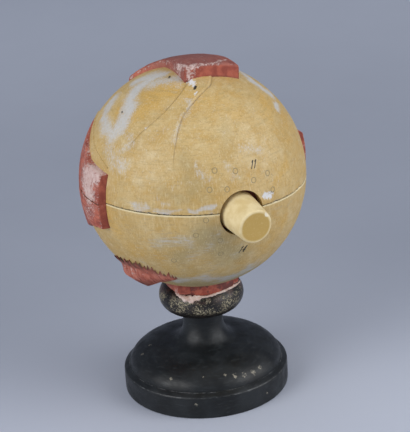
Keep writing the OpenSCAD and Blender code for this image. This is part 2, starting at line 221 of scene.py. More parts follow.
def sclera_paint():
    p = Paint("sclera_paint")
    middle, fine = p.noise(6, 5, rough=0.6), p.noise(0.9, 4, rough=0.7)
    combed = p.noise(0.7, 5, stretch=(1, 1, 9), rough=0.65)
    swept = p.noise(0.8, 5, stretch=(8, 8, 1), rough=0.65)
    grain, tone_and_shade = p.noise(1.3, 6, rough=0.75), p.value("tone_and_shade")
    ochre = p.coats(
        "#b89a60", (p.step(p.noise(30, 4, warp=0.4), 0.35, 0.66), "#c4a871"),
        (p.step(p.noise(13, 6, rough=0.65, warp=0.6), 0.5, 0.66, 0.55), "#b8924a"),
        (p.step(middle, 0.45, 0.7, 0.65), "#b9944c"), (p.step(middle, 0.48, 0.28, 0.6), "#cbb689"),
        # Above 0 tone is golden paint; below 0 it is grey-olive, partly dirt and partly painted shade
        # below the nerve and along the underside.
        (p.step(tone_and_shade, 0.0, 1.0, 0.7), "#c59c4a"), (p.step(tone_and_shade, 0.0, -1.0, 0.7), "#958b66"),
        (p.step(swept, 0.47, 0.66, 0.45), "#a28a52"), (p.step(combed, 0.5, 0.67, 0.4), "#d9c597"),
        (p.step(fine, 0.48, 0.75, 0.55), "#957848"))
    ground = p.plus(p.value("worn"), p.step(p.noise(9, 6, rough=0.75), 0.5, 0.7, 0.35))
    brushed = p.mix(p.step(p.along("Z"), EYE_Z - 5, EYE_Z + 15), swept, combed)
    dusty = p.ragged(ground, brushed, 0.12, 1.1, 1.9, 0.82)
    cells = p.node("TexVoronoi", {"Vector": p.scaled(), "Scale": 1 / SPECK_SPACING})
    specks = p.step(cells.outputs["Distance"], 0.17, 0.07, 0.6)
    specks = p.times(specks, p.step(p.noise(5, 2), 0.5, 0.62))
    colour = p.coats(
        ochre, (dusty, p.mix(p.noise(2), "#b0b3b3", "#c8cacd")),
        # lip is a painted highlight along the lower half's top edge and the tendon's crests; crease is
        # painted shade at the foot of the tendon's edges.
        (p.step(p.value("lip"), 0.1, 0.9, 0.85), "#eadbb0"), (p.value("crease_shade"), "#6b5632"),
        (p.ragged(p.value("white"), grain, 0.35, 0.9, 3), "#d3d3d3"),
        (p.step(p.noise(0.5, 4, stretch=(1, 1, 12)), 0.66, 0.74, 0.5), "#ded3b4"),
        # soot blackens real dark marks, and also paints shade into the seam's groove and under the upper
        # half's edge.
        (specks, "#66553a"), (p.ragged(p.value("soot_and_shade"), grain, 0.34, 0.75, 2.6), "#2b261b"))
    p.bump(p.plus(p.times(fine, 0.4), combed, p.times(dusty, -0.6)), 0.1)
    p.finish(colour, middle, 0.48, 0.64)


def muscle_paint():
    p = Paint("muscle_paint")
    grain, tone_and_shade, flakes = p.value("grain"), p.value("tone_and_shade"), p.noise(1.1, 6, rough=0.78)
    fresh = p.mix(p.step(p.noise(3.5, 6), 0.35, 0.65), "#8c3e2e", "#ab5741")
    dust = p.plus(p.value("worn"), p.step(p.noise(3, 6, rough=0.78), 0.5, 0.7, 0.4))
    dust = p.ragged(dust, flakes, 0.55, 1.05, 3.2, 0.88)
    colour = p.coats(
        "#954635", (p.step(p.noise(5, 5), 0.35, 0.65), "#b5634c"),
        (p.step(grain, 0.45, 0.8, 0.6), "#6a2f26"), (p.step(grain, 0.45, 0.15, 0.5), "#c07b67"),
        # Below 0 tone paints shade that dulls the red, over the superior rectus's top; above 0 it paints
        # shade that darkens the red under the ball.
        (p.step(tone_and_shade, 0.0, -1.0, 0.75), "#7d4d46"), (p.step(tone_and_shade, 0.0, 1.0, 0.85), "#5f2a22"),
        (p.value("cut"), fresh), (dust, p.mix(p.noise(2), "#bd9388", "#dccfc8")),
        # soot gives the oblique's streak tips their brown paint, and paints shade along the seam, at the
        # foot of each cut face and under the oblique's lower edge.
        (p.value("soot_and_shade"), "#55321f"))
    p.bump(p.plus(p.times(grain, 0.8), flakes, p.times(dust, -1.0)), 0.13)
    p.finish(colour, flakes, 0.5, 0.7)


def plaster_paint(name, dark, light, size, cut_colour="#ffffff"):
    """Painted or bare plaster of one hue, with lumps of about that size in mm."""
    p = Paint(name)
    colour = p.coats(
        dark, (p.step(p.noise(size, 5), 0.35, 0.68), light), (p.value("cut"), cut_colour),
        (p.step(p.noise(1, 5, rough=0.7), 0.5, 0.75, 0.4), dark),
        (p.ragged(p.value("worn"), p.noise(1, 4), 0.35, 0.6), "#ddd3b8"))
    p.bump(p.noise(size / 3, 4), 0.1)
    p.finish(colour, p.noise(9), 0.42, 0.58)


FILLER_RED_FROM = 60.6  # height over which the filler was painted with the muscle


def filler_paint():
    p = Paint("filler_paint")
    bare = p.mix(p.noise(1, 4), "#b59a8b", "#ddd0c6")
    red = p.coats("#8c3a28", (p.step(p.noise(2.5, 5), 0.35, 0.65), "#ad5a42"),
                  (p.step(p.noise(5), 0.47, 0.6, 0.9), "#542019"))
    over = p.plus(p.along("Z"), -FILLER_RED_FROM)
    painted = p.ragged(over, p.noise(1.6, 5, rough=0.7), -0.5, 0.5, 5.0)
    p.bump(p.noise(1, 4), 0.15)
    p.finish(p.mix(painted, bare, red), p.noise(3), 0.45, 0.6)


# Scuffs on the foot, nearly all where the photo shows them: point in the row frame and radius.
FOOT_SCUFFS = [
    ((12.8, 43.6, 8.6), 2), ((-10, 38, 19.8), 3), ((-15, 37, 19), 3.4), ((-20.5, 34.5, 18.6), 3.4),
    ((-25, 31, 19.5), 3), ((-4.7, 37.6, 21), 2), ((23.8, 31.5, 19.6), 2), ((7.2, 37, 21.1), 1.6),
    ((35.6, 3.4, 22.4), 2.2), ((30.3, -1.7, 24.7), 2), ((-27, 36.2, 6), 2), ((-38, -20, 15), 3),
    ((10, -44, 7), 2.4),
]


def black_wood():
    p = Paint("black_wood")
    flecks = p.noise(1.3, 5, rough=0.8)
    bare = p.mix(p.noise(3), "#7f7a68", "#a79f90")
    colour = p.coats(
        "#121415", (p.step(p.noise(16, 5), 0.35, 0.7), "#212426"),
        (p.step(p.noise(0.8, 5, stretch=(6, 6, 1)), 0.5, 0.75, 0.4), "#35393b"),
        (p.step(p.noise(2.2, 6, rough=0.78), 0.62, 0.78, 0.3), "#5b5d5c"),
        (p.ragged(p.near(FOOT_SCUFFS), flecks, 0.8, 1.2, 3, 0.8), bare),
        # The worn value paints the turned edges pale: wear, and on the step's two edges painted highlight
        # as well.
        (p.ragged(p.value("worn"), p.noise(2.5, 6, rough=0.75), 0.3, 1.2, 2.2, 0.7), "#77797a"))
    p.bump(p.plus(p.noise(0.8, 4, stretch=(1, 1, 0.15)), flecks), 0.04)
    p.finish(colour, p.noise(7, 5), 0.34, 0.54, 0.35, Specular_IOR_Level=0.35)


GILT_BAND = (49, 52, 57, 60.5)  # heights where the speckle of old gilding starts, is full and ends


def gilded_wood():
    p = Paint("gilded_wood")
    height, flakes = p.along("Z"), p.noise(0.8, 4, rough=0.8)
    brown = p.times(p.step(p.noise(8, 4), 0.42, 0.62), p.step(height, 56, 59))
    band = p.times(p.step(height, *GILT_BAND[:2]), p.step(height, *GILT_BAND[:1:-1]))
    patchy = p.step(p.noise(6, 4, rough=0.7), 0.36, 0.6, 0.04, -0.09)
    gilt = p.times(band, p.step(p.plus(flakes, patchy), 0.53, 0.58))
    colour = p.coats(
        "#0c0b0a", (p.step(p.noise(4, 5), 0.35, 0.65), "#211a16"), (brown, "#46302a"),
        (p.times(gilt, 0.9), p.mix(p.noise(0.9, 4), "#7b7052", "#c2b89c")))
    p.bump(p.plus(flakes, gilt), 0.08)
    p.finish(colour, flakes, 0.25, 0.5, 0.35, 0.65)


def metal(name, dark, light, roughness):
    p = Paint(name)
    turned = p.noise(0.35, 3, stretch=(1, 1, 0.12))
    p.bump(turned, 0.02)
    colour = p.mix(p.noise(3, 4), dark, light)
    p.finish(colour, turned, roughness, roughness + 0.15, Metallic=1.0)


def clear(name, tint, ior):
    p = Paint(name)
    colour = p.mix(p.step(p.noise(14, 2), 0.3, 0.7), "#ffffff", tint)
    p.finish(colour, p.noise(6), 0.03, 0.06, 0.45, Transmission_Weight=1.0, IOR=ior)


def choroid_paint():
    p = Paint("choroid_paint")
    swirl = p.math("ABSOLUTE", p.plus(p.noise(9, 4, warp=2.2), -0.5))
    lines = p.step(swirl, 0.05, 0.012)
    ground = p.step(p.noise(20, 4), 0.35, 0.65)
    p.bump(p.plus(lines, p.noise(1)), 0.12)
    colour = p.coats("#5f2d26", (ground, "#7a3f34"), (lines, "#8e3a2f"))
    p.finish(colour, p.noise(5), 0.42, 0.58)


MACULA = tuple(EYE @ place(-4, -2, RETINA_IN))


def retina_paint():
    p = Paint("retina_paint")
    colour = p.coats(
        "#cd7f4c", (p.step(p.noise(16, 4), 0.3, 0.7), "#dd9a63"),
        (p.step(p.noise(1.2), 0.45, 0.7, 0.35), "#b9683f"),
        (p.times(p.near([(MACULA, 9)]), 0.75), "#9a5230"))
    p.bump(p.noise(1.5), 0.06)
    p.finish(colour, p.noise(5), 0.4, 0.52)


def iris_paint():
    p = Paint("iris_paint")
    colour = p.coats(
        "#36566d", (p.step(p.value("grain"), 0.15, 0.85), "#86a3b2"),
        (p.ragged(p.value("worn"), p.noise(1.5), 0.4, 0.8), "#8f7348"), (p.value("cut"), "#18222a"))
    p.bump(p.noise(0.6), 0.06)
    p.finish(colour, p.noise(3), 0.32, 0.48)


def ciliary_paint():
    p = Paint("ciliary_paint")
    colour = p.coats("#2a1813", (p.step(p.value("grain"), 0.2, 0.8), "#75503f"),
                     (p.step(p.noise(2, 4), 0.4, 0.7, 0.5), "#3a2720"))
    p.bump(p.noise(0.7), 0.08)
    p.finish(colour, p.noise(3), 0.42, 0.58)


def ink(name, dark, light):
    p = Paint(name)
    p.finish(p.mix(p.noise(0.6), dark, light), p.noise(2, 2), 0.5, 0.65)


for make in (sclera_paint, muscle_paint, filler_paint, black_wood, gilded_wood, choroid_paint,
             retina_paint, iris_paint, ciliary_paint):
    make()
plaster_paint("bare_plaster", "#bd9f90", "#dccbc1", 3)
# The nerve's cut end takes a darker ochre, which is painted shade on the face turned from the light.
plaster_paint("nerve_paint", "#d2ba84", "#e2cfa0", 7, "#b8974f")
metal("steel", "#8b8984", "#a7a49d", 0.32)
metal("brass", "#a88546", "#c6a663", 0.26)
clear("clear_glass", "#e9f4f5", 1.46)
clear("lens_glass", "#f4ecc9", 1.5)
ink("ink", "#17150f", "#3f3826")
ink("ring_ink", "#857850", "#a0906a")
ink("vessel_paint", "#8f1f1a", "#a8342a")

for part in frame["record"]["subparts"]:
    cad_mesh = NODES[part["node"]].data
    cad_mesh.materials.clear()
    filler = part["node"] == "seat_filler"
    cad_mesh.materials.append(PAINTS["filler_paint" if filler else part["material_slot"]])


# ---- meshes ----

def add_object(name, data):
    made = bpy.data.objects.new(name, data)
    bpy.context.scene.collection.objects.link(made)
    return made


def add_piece(name, points, faces, body, slot, paint=None, values=(), transform=EYE, sharp=60,
              replaces=()):
    """A mesh piece that rides on body. points are in mm in the transform's frame. values are
    the numbers on each point that the paint reads."""
    mesh = bpy.data.meshes.new(name)
    mesh.from_pydata([(transform @ Vector(p)) * MM for p in points], [], faces)
    for key, numbers in dict(values).items():
        attribute = mesh.attributes.new(key, "FLOAT", "POINT")
        attribute.data.foreach_set("value", np.array(numbers, np.float32))
    bm = bmesh.new()
    bm.from_mesh(mesh)
    bmesh.ops.recalc_face_normals(bm, faces=bm.faces)
    bm.to_mesh(mesh)
    bm.free()
    mesh.polygons.foreach_set("use_smooth", [True] * len(mesh.polygons))
    mesh.set_sharp_from_angle(angle=radians(sharp))
    mesh.materials.append(PAINTS[paint or slot])
    piece = add_object(name, mesh)
    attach(piece, body)
    if replaces:
        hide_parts(*replaces)


def grid_faces(rows, columns, first=0, closed=False, looped=False):
    """Quads of a grid of points stored row by row. closed joins its last column to its first, and
    looped its last row to its first."""
    faces = []
    for i in range(rows if looped else rows - 1):
        a, b = first + i * columns, first + (i + 1) % rows * columns
        for j in range(columns if closed else columns - 1):
            k = (j + 1) % columns
            faces.append((a + j, a + k, b + k, b + j))
    return faces


def tube_faces(rows, columns, first=0):
    """Faces of a tube whose rows of points run round it, with both ends closed."""
    last = first + (rows - 1) * columns
    ends = [tuple(range(start, start + columns)) for start in (first, last)]
    return grid_faces(rows, columns, first, closed=True) + ends


def slab(top, bottom, columns):
    """Points and faces of a closed slab between two grids of points stored row by row."""
    count = len(top)
    rows = count // columns
    faces = grid_faces(rows, columns) + grid_faces(rows, columns, count)
    rim = [*range(columns), *range(2 * columns - 1, count, columns),
           *range(count - 2, count - columns - 1, -1), *range(count - 2 * columns, 0, -columns)]
    faces += [(rim[k - 1] + count, rim[k] + count, rim[k], rim[k - 1]) for k in range(len(rim))]
    return top + bottom, faces


def resample(line, count):
    """Points evenly spaced along the smooth curve through a list of points."""
    line = [Vector(p) for p in line]
    dense = []
    for i in range(len(line) - 1):
        before, after = line[max(i - 1, 0)], line[min(i + 2, len(line) - 1)]
        pull = (line[i + 1] - before) / 2, (after - line[i]) / 2
        for t in np.linspace(0, 1, 12, endpoint=False):
            ends = line[i] * (2 * t ** 3 - 3 * t ** 2 + 1) + line[i + 1] * (3 * t ** 2 - 2 * t ** 3)
            dense.append(ends + pull[0] * (t ** 3 - 2 * t ** 2 + t) + pull[1] * (t ** 3 - t ** 2))
    dense.append(line[-1])
    lengths = np.cumsum([0] + [(b - a).length for a, b in zip(dense, dense[1:])])
    at = np.linspace(0, lengths[-1], count)
    return [Vector(np.interp(s, lengths, [p[k] for p in dense]) for k in range(3)) for s in at]


BEAD_SECTION = ((-1, -0.3), (-0.8, 0.5), (-0.4, 0.9), (0, 1), (0.4, 0.9), (0.8, 0.5), (1, -0.3))


def beads(lines):
    """Points and faces of low rounded strips over a ball: (points, half width, height, taper)."""
    points, faces = [], []
    for line, half_width, height, taper in lines:
        count = len(line)
        faces += tube_faces(count, len(BEAD_SECTION), len(points))
        for i, p in enumerate(line):
            ahead = (line[min(i + 1, count - 1)] - line[max(i - 1, 0)]).normalized()
            out = p.normalized()
            side = ahead.cross(out) * half_width * (1 - taper * i / (count - 1))
            points += [p + side * x + out * height * y for x, y in BEAD_SECTION]
    return points, faces


def over_ball(places, r=SCLERA_R, spacing=1.0):
    """Points on a ball of radius r along a smooth line through places."""
    line = [place(*p, r=r) for p in places]
    length = sum((b - a).length for a, b in zip(line, line[1:]))
    return [p * r / p.length for p in resample(line, max(4, round(length / spacing)))]


# ---- wear, tone and painted shade on the ball, placed by the photo on the side that it shows ----
# A stroke is its half width in mm, its strength, and the angle and elevation of each of its
# places. Strokes of WORN are rubbed, of WHITE chipped down to the plaster, and of SOOT blackened.
# GOLDEN strokes warm the ochre, and GREY strokes dull it to grey-olive: partly dirt, and partly
# painted shade below the nerve and along the ball's underside.
WORN = [
    (8, 0.95, -95, 62, -82, 71), (8, 1, -78, 72, -76, 60, -72, 54, -63, 49),
    (8, 0.9, -63, 49, -60, 41, -62, 33), (6.5, 0.85, -62, 33, -74, 35, -84, 38, -95, 48),
    (8, 0.75, -30, 74, -62, 66), (7, 0.5, -64, 30, -58, 24, -48, 20),
    (4, 0.5, -50, 36, -45, 32, -52, 27), (5.5, 1, 97, 62, 82, 58, 78, 52, 82, 46),
    (3, 0.8, 76, 42, 65, 40.5), (4.5, 0.4, 21, 30, 29, 27), (5, 0.35, -6, 24, -3, 18),
    (3, 0.35, 8, 24, 14, 16), (3, 0.4, -8, 58, -14, 50, -18, 43, -20, 35), (3.2, 0.6, -38, 2.6, -33, 3),
    (1.8, 0.6, -28, 2, -16, 2.2), (2.6, 0.8, -11, 2.6, 1, 3.4), (3, 0.35, -20, 5, -26, 7),
    (6, 0.42, -30, -16, -20, -13, -12, -15), (5, 0.35, -11, -24, -1, -18),
    (7, 0.6, -26, -46, -3, -43.5), (7, 0.65, -3, -44, 14, -49, 33, -43), (7, 0.8, 150, 35, 165, 52),
    (9, 0.7, -150, -28, -138, -12), (6, 0.8, 120, -38, 132, -30), (7, 0.7, -165, 60, -190, 70),
    (5, 0.8, -128, 20, -120, 34), (5, 0.7, 105, 8, 118, 20),
]
WHITE = [
    (2.9, 1, 28, 4.8, 31.8, 4.2), (3.4, 1, -22, 76, -10, 72, -7, 69.5), (1.4, 0.8, -7, 71, -5, 67),
    (1.2, 0.7, -3.5, 63, -5, 61), (0.9, 0.8, -38.5, 41.4, -39.5, 40.6), (1.5, 0.8, 141, 44, 144, 47),
    (1.8, 0.9, -118, -14, -121, -17),
]
GOLDEN = [
    (11, 0.9, -45, 60, -28, 66), (8, 0.8, -52, 46, -40, 54), (8, 0.7, -8, 58, 3, 58),
    (6, 0.7, 45, 16, 36, 9), (8, 0.7, 62, 48, 50, 42), (8, 0.6, -60, 4, -52, -14),
    (7, 0.5, -40, -24, -48, -20), (9, 0.5, 42, -14, 32, -30), (10, 0.6, 170, 20, 150, 5),
    (10, 0.6, -120, 50, -140, 40), (5, 0.8, -73, 44, -72, 47), (9, 0.5, 25, 45, 20, 55),
]
GREY = [
    (15, 0.75, -4, -12, 12, -24), (10, 0.6, -4, -14, -17, -24), (9, 0.45, -13, 26, -8, 12),
    (8, 0.5, -28, -16, -12, -14), (13, 1, -24, -50, 10, -54, 34, -48), (6, 0.4, -24, 12, -12, 8),
    (14, 0.5, 165, -30, 190, -10), (9, 0.35, 14, 40, 10, 30),
]
SOOT = [
    (1.2, 1, -3.2, 66.8, -4.6, 65.4), (1.1, 1, -51, 74.6, -49, 73.6), (0.9, 0.9, -67, 46, -66.4, 45.4),
    (0.9, 0.8, -17, 72.4, -15.5, 72.6),
]


def pairs(numbers):
    """Angle and elevation of each place, from a row of numbers."""
    return list(zip(numbers[::2], numbers[1::2]))


def to_ball(points):
    """Points brought straight onto the sclera."""
    return points * (SCLERA_R / np.linalg.norm(points, axis=1))[:, None]


def near_ball(points):
    """Points brought onto the sclera and shifted a little, so that wear gets an uneven outline."""
    return to_ball(np.array([[c + 2.4 * ripple(p, 6, 2 + k) for k, c in enumerate(p)] for p in points]))


def stroke_mask(points, strokes):
    """1 on a stroke and 0 past its half width, for each point."""
    mask = np.zeros(len(points))
    for half_width, strength, *spots in strokes:
        line = [np.array(place(*spot)) for spot in pairs(spots)]
        distance = np.full(len(points), np.inf)
        for a, b in zip(line, line[1:]):
            t = np.clip((points - a) @ (b - a) / ((b - a) @ (b - a)), 0, 1)
            distance = np.minimum(distance, np.linalg.norm(points - a - t[:, None] * (b - a), axis=1))
        mask = np.maximum(mask, strength * np.clip(1.25 * (1 - distance / half_width), 0, 1))
    return mask


def wear(points):
    """The numbers that sclera_paint reads, for points of the eye frame."""
    shifted, exact = near_ball(points), to_ball(np.array(points))
    return {"worn": stroke_mask(shifted, WORN), "white": stroke_mask(exact, WHITE),
            "tone_and_shade": stroke_mask(shifted, GOLDEN) - stroke_mask(shifted, GREY),
            "soot_and_shade": stroke_mask(exact, SOOT)}


# ---- sclera ----
SURFACE_STEP = 1.25  # longest edge on the ball's outside
SEAM_CHAMFER = 0.35
SEAM_DEPTH = 1.1
CHIP_DEPTH = 0.35


def lumps(p):
    """How far the hand-smoothed surface stands off a true ball at p."""
    return 0.09 * ripple(p, 11, 1) + 0.04 * ripple(p, 2.6, 2)


def dense_copy(node):
    """Points and faces of a CAD node in the eye frame, cut finer over the outside of the ball."""
    bm = bmesh.new()
    bm.from_mesh(NODES[node].data)
    bmesh.ops.remove_doubles(bm, verts=bm.verts, dist=0.001 * MM)
    to_eye = EYE.inverted() @ Matrix.Scale(1 / MM, 4)
    bmesh.ops.transform(bm, matrix=to_eye, verts=bm.verts)
    while True:
        outer = [e for e in bm.edges if min(v.co.length for v in e.verts) > SCLERA_R - 0.1]
        long_edges = [e for e in outer if e.calc_length() > SURFACE_STEP]
        if not long_edges:
            break
        bmesh.ops.subdivide_edges(bm, edges=long_edges, cuts=1)
        bmesh.ops.triangulate(bm, faces=[f for f in bm.faces if len(f.verts) > 3])
        for v in bm.verts:
            if abs(v.co.length - SCLERA_R) < 0.1:
                v.co *= SCLERA_R / v.co.length
    points = np.array([v.co[:] for v in bm.verts])
    faces = [tuple(v.index for v in f.verts) for f in bm.faces]
    bm.free()
    return points, faces


def add_sclera(node, body, side):
    """side is 1 for the upper half and -1 for the lower."""
    points, faces = dense_copy(node)
    values = wear(points)
    values["lip"] = np.zeros(len(points))
    for i, p in enumerate(points):
        r, z = float(np.linalg.norm(p)), p[2] * side
        if r < SCLERA_R - 0.01:
            # The seam face's inner edge sinks into a groove that is painted dark as painted shade.
            inner_edge = z < 0.01 and r > SCLERA_R - SEAM_CHAMFER - 0.1
            if inner_edge:
                points[i] *= (SCLERA_R - SEAM_DEPTH) / r
            values["worn"][i] = values["white"][i] = 0
            values["soot_and_shade"][i] = inner_edge
            continue
        # Along the seam the lower half's edge takes a painted highlight and the upper half's edge painted
        # shade, both broken by chips.
        if z < SEAM_CHAMFER + 0.05:
            chip = ease(ripple((p[0], p[1], 0), 2.3, 5), 0.25, 0.5)
            rise = -CHIP_DEPTH * chip
            values["lip" if side < 0 else "soot_and_shade"][i] = 1.0 if side < 0 else 0.5
            values["worn"][i] = max(values["worn"][i], 0.8 * chip)
        else:
            rise = lumps(p) - 0.07 * values["worn"][i] - CHIP_DEPTH * values["white"][i]
        # On the lower half the painted highlight fades out over 2 mm below the seam.
        values["lip"][i] = max(values["lip"][i], 0.35 * (side < 0) * ease(z, 2, 0.5))
        points[i] *= 1 + rise / r
    add_piece(node + ".painted", points, faces, body, "sclera_paint", values=values, sharp=35,
              replaces=(node,))


add_sclera("upper_sclera", "upper_shell", 1)
add_sclera("lower_sclera", "stand", -1)

# ---- superior oblique: a flat tendon that comes out from under the superior rectus ----
TENDON_T = 0.9
EMBED = 0.1  # how far a muscle goes into the ball
TENDON_EMBED = 0.3
TENDON_NASAL = [
    (30, 73), (18, 67.5), (10, 65), (-5, 57.5), (-14, 49.5), (-17, 41.5), (-18.5, 30), (-18.4, 20),
]
TENDON_TEMPORAL = [
    (-10, 74), (-21, 62), (-29, 52), (-36, 44.5), (-43, 37), (-48, 28),
]
TENDON_ROWS, TENDON_COLUMNS = 56, 34


def add_tendon():
    edges = [over_ball(line, spacing=0.05) for line in (TENDON_TEMPORAL, TENDON_NASAL)]
    top, bottom, marks = [], [], []
    for u in np.linspace(0, 1, TENDON_ROWS):
        a, b = (line[round(u * (len(line) - 1))] for line in edges)
        faded = (0.2 + 0.8 * ease(u, 1, 0.62)) * ease(u, 1, 0.93)
        for s in np.linspace(0, 1, TENDON_COLUMNS):
            p = a.lerp(b, 0.5 - 0.5 * cos(pi * s)).normalized() * SCLERA_R
            from_a, from_b = (p - a).length, (p - b).length
            rise = min(ease(from_a, 0, 1.5), ease(from_b, 0, 1.1))
            ridge = 0.3 * ease(from_b, 3.2, 1.1) + 0.12 * ease(from_a, 2.5, 1)
            height = TENDON_T * rise * (0.72 + ridge) * faded + 0.05 * rise * ripple(p, 4, 3)
            patchy = ease(u, 1, 0.85) * (0.7 + 0.5 * ripple(p, 5, 11))
            crest = max(ease(abs(from_b - 1.4), 0.8, 0.2), 0.6 * ease(abs(from_a - 1.2), 0.7, 0.2))
            # The first number is painted shade at the foot of both edges, the second a painted highlight
            # along the crest beside each edge.
            marks.append((0.6 * max(ease(from_b, 0.7, 0.3), ease(from_a, 0.6, 0.3)) * patchy,
                          0.42 * crest * patchy * faded))
            top.append(p * (1 + (height + 0.02) / SCLERA_R))
            bottom.append(p * (1 - TENDON_EMBED / SCLERA_R))
    points, faces = slab(top, bottom, TENDON_COLUMNS)
    values = wear(points)
    values["crease_shade"], values["lip"] = (np.tile(column, 2) for column in zip(*marks))
    add_piece("superior_oblique.tendon", points, faces, "upper_shell", "sclera_paint", values=values,
              replaces=("superior_oblique",))


add_tendon()

# ---- the four recti ----
LATERAL, SUPERIOR, MEDIAL, INFERIOR = range(4)
RECTUS_T = (5, 7.6, 4.8, 5.4)
RECTUS_CUT = (18.5, 16.5, 8, 16)
RECTUS_W = (14.5, 15.3, 16.8, 18)
RECTUS_NECK_W = (17.5, 15.3, 17.5, 18.5)
RECTUS_FAN_W = (33, 28, 26, 25)
RECTUS_SHIFT = (0.7, 4.5, 0.7, 0)
RECTUS_NECK_AT = (89, 98, 95, 96)
RECTUS_END_AT = (118, 118, 112, 120)
RECTUS_FADE_AT = (121, 142, 120, 134)
MUSCLE_STEP = 0.9  # spacing of a muscle's points
WALL_STEPS = 5  # across a muscle's cut face
MUSCLE_ROUND = 1.2  # radius of a muscle's edges
# Strokes as on the ball: DUSK paints shade that dulls the red, over the superior rectus's top
# face most of all, UNDERSIDE_SHADE paints shade that darkens it where the inferior rectus runs under
# the ball, and the others rub it pale.
DUSK = [(26, 0.95, 15, 78, 15, 88, 195, 78), (9, 0.5, -100, 0, -108, -12)]
UNDERSIDE_SHADE = [(17, 1, 15, -84, 15, -76)]
BARE = [
    (4.5, 0.6, -75, 76, -50, 79, -20, 77), (3, 1, -30, 77, -16, 75, -8, 72), (2, 0.8, 1, 74, -8, 71),
]
MUSCLE_WORN = [
    (13, 1.1, -62, 13, -72, 9, -66, 3), (7, 0.55, -74, 16, -90, 22), (8, 0.65, -64, -4, -72, -9),
    (4, 0.7, -34, 76, -8, 74), (2, 0.85, -8, 75.5, 15, 76, 45, 75, 75, 73), (10, 0.5, -80, 74, -40, 78),
    (8, 0.35, 100, 84, 30, 82), (2, 0.9, 92, 14, 97, 2), (4, 0.5, 110, 10, 112, -6),
    (5, 0.5, 150, 70, 190, 68), (5, 0.5, -100, 12, -102, -10),
]


def towards(m):
    """From rectus m's own frame, +Y along the nerve and +X out through it, to the eye frame."""
    return spin(NERVE_TURN, "Z") @ spin(-90 * m, "Y")


def rectus_ball(m):
    """Shift along the nerve, and radius, of the larger ball that bounds rectus m."""
    fade = cos(radians(RECTUS_FADE_AT[m]))
    shift = RECTUS_T[m] / (RECTUS_CUT[m] / SCLERA_R - fade)
    return shift, SCLERA_R - shift * fade


def add_rectus(node, m, body, half=0):
    """half is 1 or -1 for the part on that side of the seam, and 0 for a whole muscle."""
    shift, ball_r = rectus_ball(m)
    cut_y = RECTUS_CUT[m]
    neck_y, end_y = (SCLERA_R * cos(radians(at[m])) for at in (RECTUS_NECK_AT, RECTUS_END_AT))
    ys = [cut_y - d for d in (0, 0.12, 0.3, 0.55, 0.9)]
    ys += list(np.linspace(ys[-1], end_y, round((ys[-1] - end_y) / MUSCLE_STEP))[1:])
    columns = round(2 * RECTUS_W[m] / MUSCLE_STEP / (2 if half else 1)) + 8
    shares = [0, 0.012, 0.03, 0.055, *np.linspace(0.08, 0.92, columns), 0.945, 0.97, 0.988, 1]
    points, marks = [], []
    for t in shares:
        low, high, top_marks = [], [], []
        for y in ys:
            widths = [RECTUS_W[m], RECTUS_NECK_W[m], RECTUS_FAN_W[m]]
            width = float(np.interp(-y, [-cut_y, -neck_y, -end_y], widths))
            sides = [RECTUS_SHIFT[m] - width, RECTUS_SHIFT[m] + width]
            if half:
                sides[0 if half > 0 else 1] = 0
            z = sides[0] + t * (sides[1] - sides[0])
            inner = sqrt(SCLERA_R ** 2 - y * y - z * z)
            outer = sqrt(ball_r ** 2 - (y - shift) ** 2 - z * z)
            point, height = Vector((outer, y, z)), outer - inner
            rounding = min(MUSCLE_ROUND, 0.6 * height)
            seam = abs(z) if half else inf
            away = min([abs(z - s) for s in sides if s] + [cut_y - y + 0.3, seam + 0.3])
            drop = rounding * (1 - sqrt(1 - (1 - min(away / rounding, 1)) ** 2))
            chip = ease(ripple(point, 2.2, m + 10), 0.2, 0.5) * ease(away, 1.8, 0.2)
            uneven = 0.16 * ripple(point, 5, m) + 0.1 * ripple(point, 1.6, m, (1, 7, 1)) - 0.14
            drop += min(0.45 * height, 0.8 * chip) - uneven * ease(height, 0.3, 1.5)
            low.append(Vector((inner - EMBED, y, z)))
            high.append(Vector((max(outer - drop, inner + 0.05), y, z)))
            edge = 0.85 * ease(away, 1.5, 0) * (0.6 + 0.6 * ripple(point, 3, m + 20))
            worn = max(edge, chip, 0.3 * ease(height, 0.9, 0.3))
            grain = 0.5 + 0.5 * ripple(point, 1.1, m, (1, 9, 1))
            # The last number is painted shade, darkening the split face next to the seam.
            top_marks.append((0, worn, grain, ease(seam, 0.45, 0.1)))
        face = []
        for k in range(1, WALL_STEPS):
            p = low[0].lerp(high[0], k / WALL_STEPS)
            p.y -= 0.12 * (1 + ripple(p, 1.4, m + 3, (1, 1, 0.6)))
            face.append(p)
        points += low[::-1] + face + high
        # The point at the foot of the cut face, where it meets the ball, gets painted shade (the last
        # number).
        marks += [(0, 0, 0.3, 0)] * (len(ys) - 1) + [(1, 0, 0.3, 0.5)]
        marks += [(1, 0.1, 0.3, 0)] * len(face) + top_marks
    ring = 2 * len(ys) + WALL_STEPS - 1
    faces = grid_faces(len(shares), ring, closed=True)
    for first in (0, (len(shares) - 1) * ring):
        faces += [(first + i, first + ring - 1 - i, first + ring - 2 - i, first + i + 1)
                  for i in range(len(ys) - 1)]
        faces.append(tuple(range(first + len(ys) - 1, first + len(ys) + WALL_STEPS)))
    in_eye = [towards(m) @ p for p in points]
    cut, worn, grain, soot_and_shade = (np.array(column) for column in zip(*marks))
    shifted, exact = near_ball(in_eye), to_ball(np.array(in_eye))
    worn = np.maximum(worn, stroke_mask(shifted, MUSCLE_WORN)) * (1 - 0.8 * cut)
    tone_and_shade = (stroke_mask(exact, UNDERSIDE_SHADE) - stroke_mask(exact, DUSK)) * (1 - cut)
    values = {"cut": cut, "worn": np.maximum(worn, stroke_mask(shifted, BARE)), "grain": grain,
              "soot_and_shade": soot_and_shade, "tone_and_shade": tone_and_shade}
    add_piece(node + ".plaster", in_eye, faces, body, "muscle_paint", values=values, sharp=50,
              replaces=(node,))


